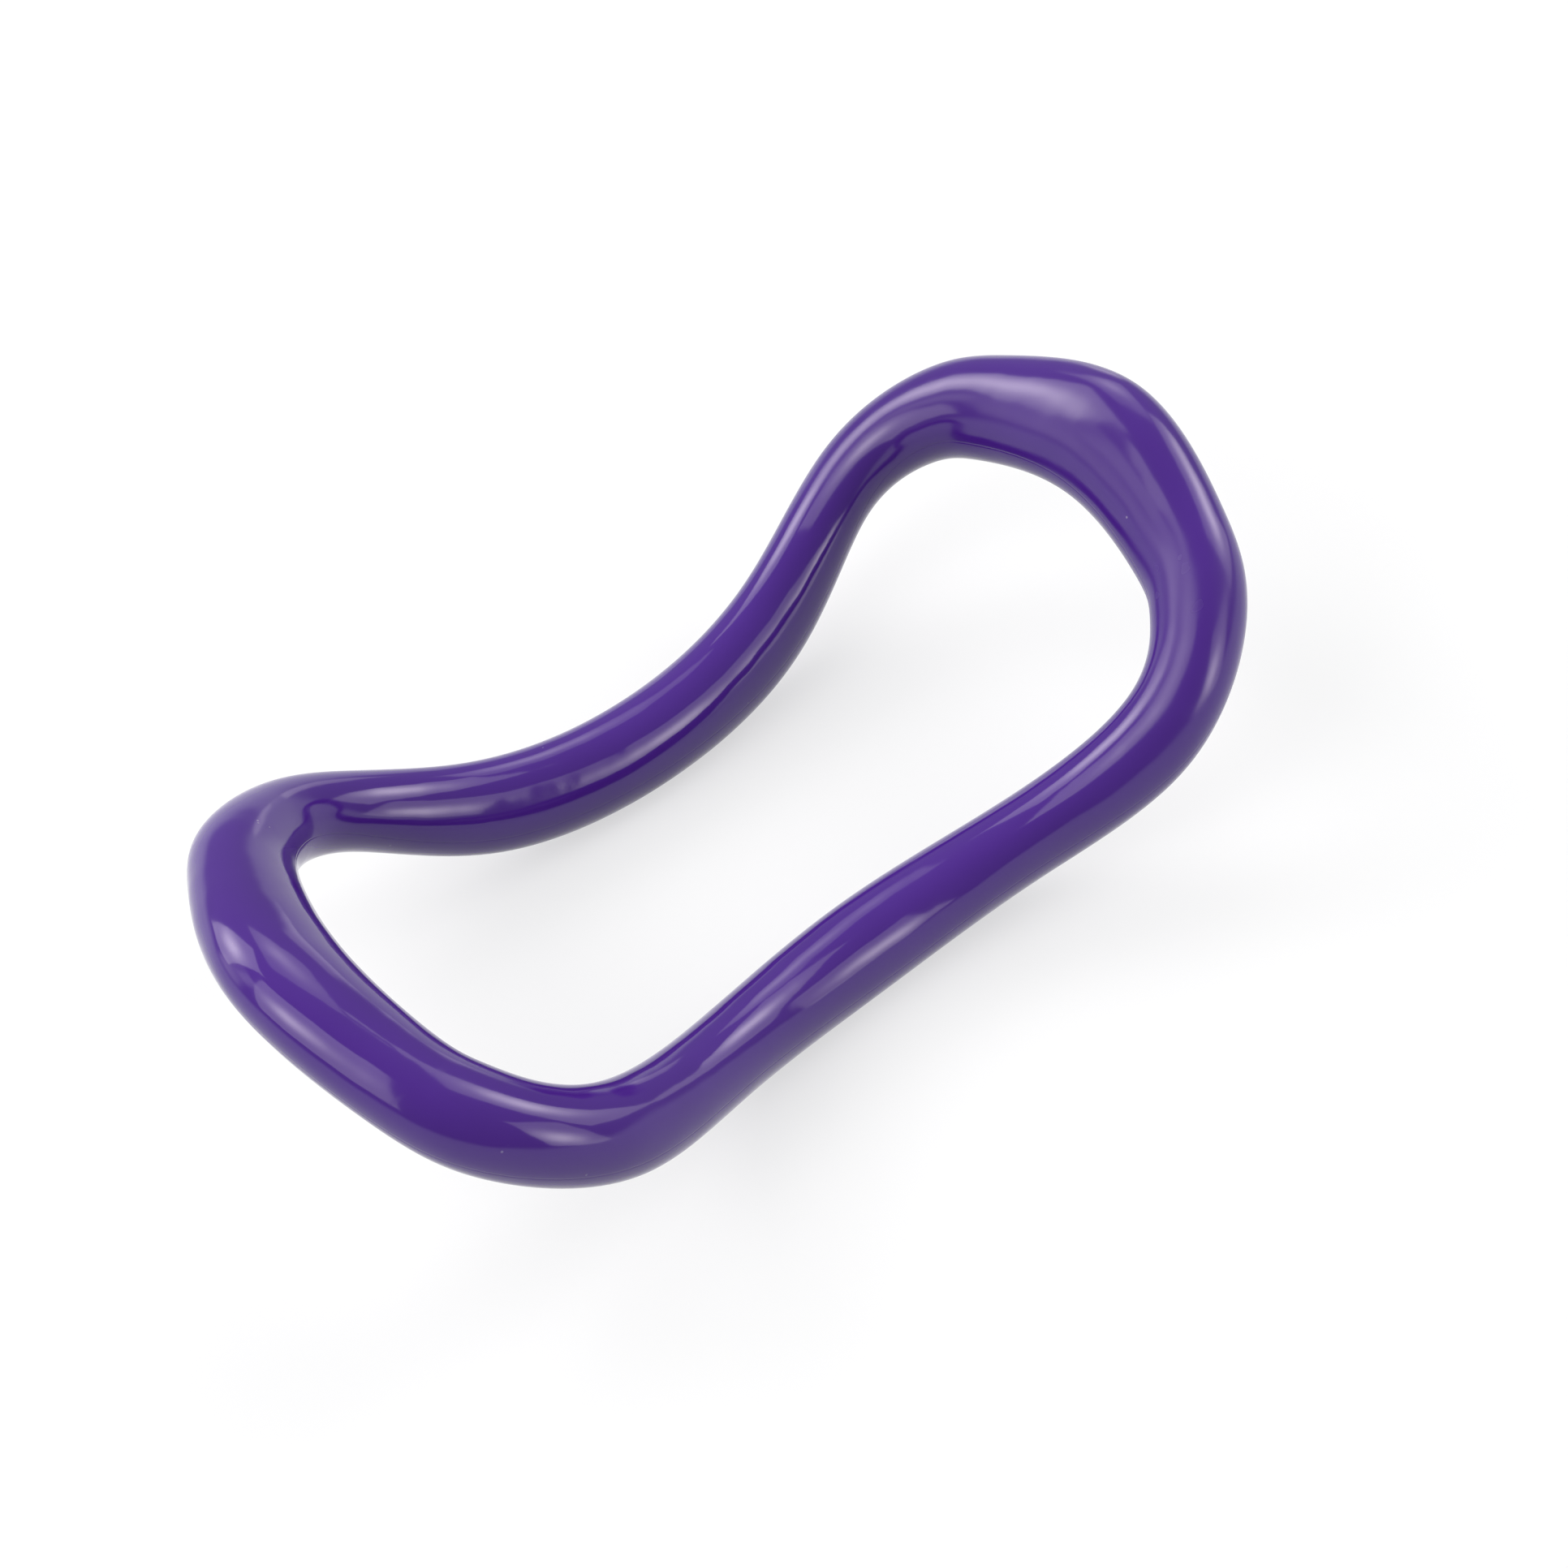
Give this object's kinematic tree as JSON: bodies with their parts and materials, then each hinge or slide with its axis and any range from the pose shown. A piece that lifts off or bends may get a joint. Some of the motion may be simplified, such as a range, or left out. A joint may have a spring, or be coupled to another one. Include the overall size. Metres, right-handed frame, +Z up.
{
  "type": "pilates ring",
  "caption": "Rigid wave-shaped pilates stretch ring: a hollow glossy oval tube closed into a pinched loop with raised ends, welded from an upper and a lower shell.",
  "frame": {"origin": "on the ground under the ring's middle, midway between the lowest lines of its two waist bars", "axes": "+X along the ring's length, towards one raised end; +Y across the waist; +Z up, along the mould's draw"},
  "size_m": [0.235, 0.1224, 0.076],
  "materials": {
    "violet_plastic": "moulded, high gloss"
  },
  "bodies": {
    "root": {"lower_shell": "violet_plastic", "upper_shell": "violet_plastic"}
  },
  "joints": []
}
